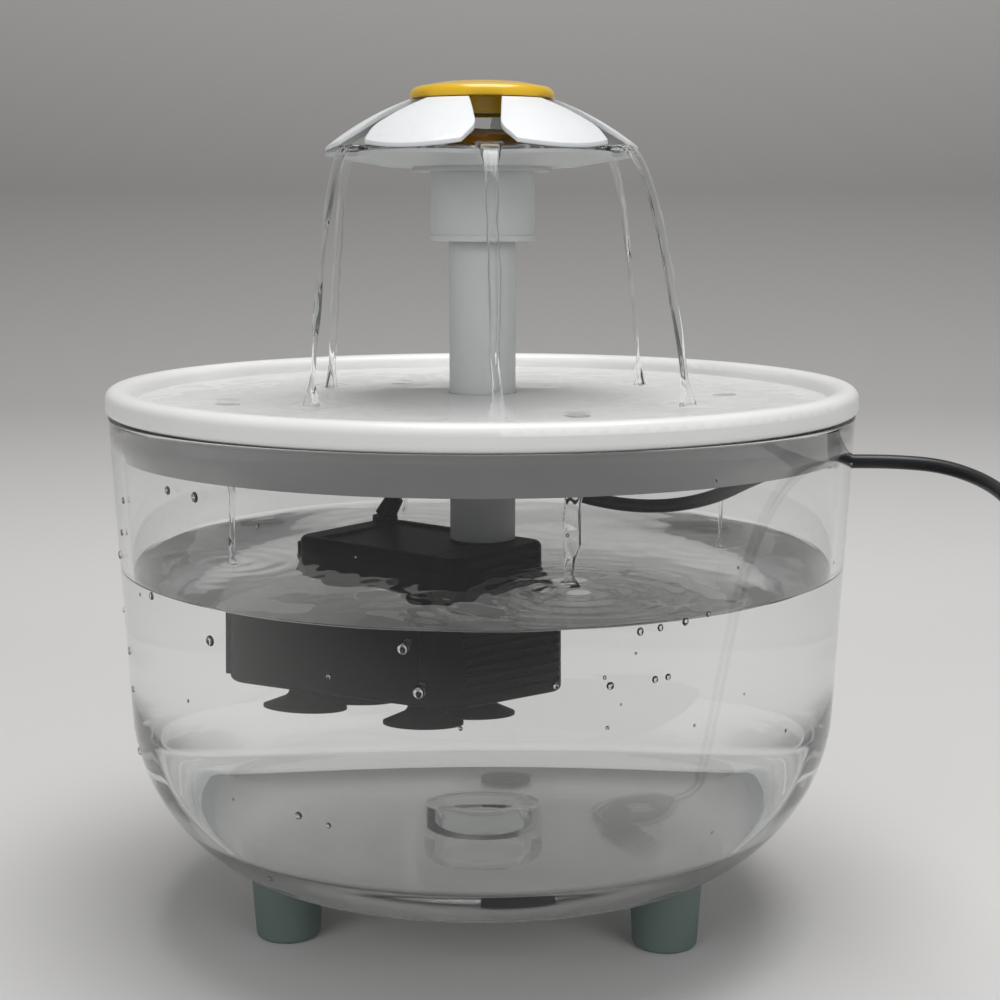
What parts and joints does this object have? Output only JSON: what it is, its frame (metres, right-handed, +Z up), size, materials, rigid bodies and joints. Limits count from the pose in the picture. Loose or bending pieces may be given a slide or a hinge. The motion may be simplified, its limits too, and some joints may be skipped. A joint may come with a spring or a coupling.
{
  "type": "pet water fountain",
  "caption": "Round clear tank on feet with a white tray lid, a riser pipe with a petalled flower outlet and a submersible pump hung from the pipe.",
  "frame": {"origin": "on the floor, on the axis of the tank", "axes": "+Z up, the front towards -Y, the cord's side towards +X"},
  "size_m": [0.227, 0.2596, 0.2146],
  "materials": {
    "clear_plastic": "clear, glossy",
    "foot_rubber": "matt, dark grey-green",
    "white_plastic": "satin, warm white",
    "petal_white": "satin, cool white",
    "flower_yellow": "satin, slightly see-through",
    "frosted_plastic": "frosted, see-through",
    "black_plastic": "fine matt",
    "black_rubber": "soft matt",
    "seal_rubber": "matt",
    "foam": "open-cell foam",
    "resin": "cast resin",
    "laminations": "stacked sheet",
    "winding": "enamelled wire",
    "ferrite": "ground",
    "ceramic": "polished",
    "cord_jacket": "satin black",
    "plug_metal": "bright"
  },
  "bodies": {
    "tank": {"tank_bowl": "clear_plastic", "foot_front_right": "foot_rubber", "foot_back": "foot_rubber", "foot_front_left": "foot_rubber", "cord_free": "cord_jacket", "cord_coil": "cord_jacket", "plug_relief": "cord_jacket", "plug_grip": "cord_jacket", "plug_shell": "plug_metal", "plug_tongue": "ceramic"},
    "lid": {"lid_tray": "white_plastic", "hub_seal": "seal_rubber", "pump_housing": "black_plastic", "pump_rear_cover": "black_plastic", "motor_potting": "resin", "volute_cover": "black_plastic", "shaft_bush_front": "black_rubber", "shaft_bush_back": "black_rubber", "rotor_shaft": "ceramic", "stator_core": "laminations", "stator_coils": "winding", "cup_back_near": "black_rubber", "cup_back_far": "black_rubber", "cup_front_near": "black_rubber", "cup_front_far": "black_rubber", "outlet_ring": "seal_rubber", "cord_gland": "black_rubber", "cord_inner": "cord_jacket"},
    "intake": {"intake_cover": "black_plastic", "intake_foam": "foam"},
    "rotor": {"rotor_magnet": "ferrite", "impeller": "black_plastic"},
    "riser": {"riser_pipe": "frosted_plastic"},
    "flower": {"flower_base": "frosted_plastic"},
    "petals": {"flower_petals": "petal_white"},
    "core": {"flower_core": "flower_yellow"}
  },
  "joints": [
    {"name": "lid_lift", "type": "slide", "parent": "tank", "child": "lid", "axis": [0, 0, 1], "range_m": [0, 0.1]},
    {"name": "riser_lift", "type": "slide", "parent": "lid", "child": "riser", "axis": [0, 0, 1], "range_m": [0, 0.014]},
    {"name": "flower_lift", "type": "slide", "parent": "riser", "child": "flower", "axis": [0, 0, 1], "range_m": [0, 0.018]},
    {"name": "petals_lift", "type": "slide", "parent": "flower", "child": "petals", "axis": [0, 0, 1], "range_m": [0, 0.02]},
    {"name": "core_lift", "type": "slide", "parent": "petals", "child": "core", "axis": [0, 0, 1], "range_m": [0, 0.012]},
    {"name": "intake_slide", "type": "slide", "parent": "lid", "child": "intake", "axis": [0.7771, -0.6293, 0], "range_m": [0, 0.02]},
    {"name": "impeller_spin", "type": "hinge", "parent": "lid", "child": "rotor", "pos_m": [-0.00579, -0.00715, 0.082], "axis": [0.7771, -0.6293, 0], "continuous": true}
  ]
}
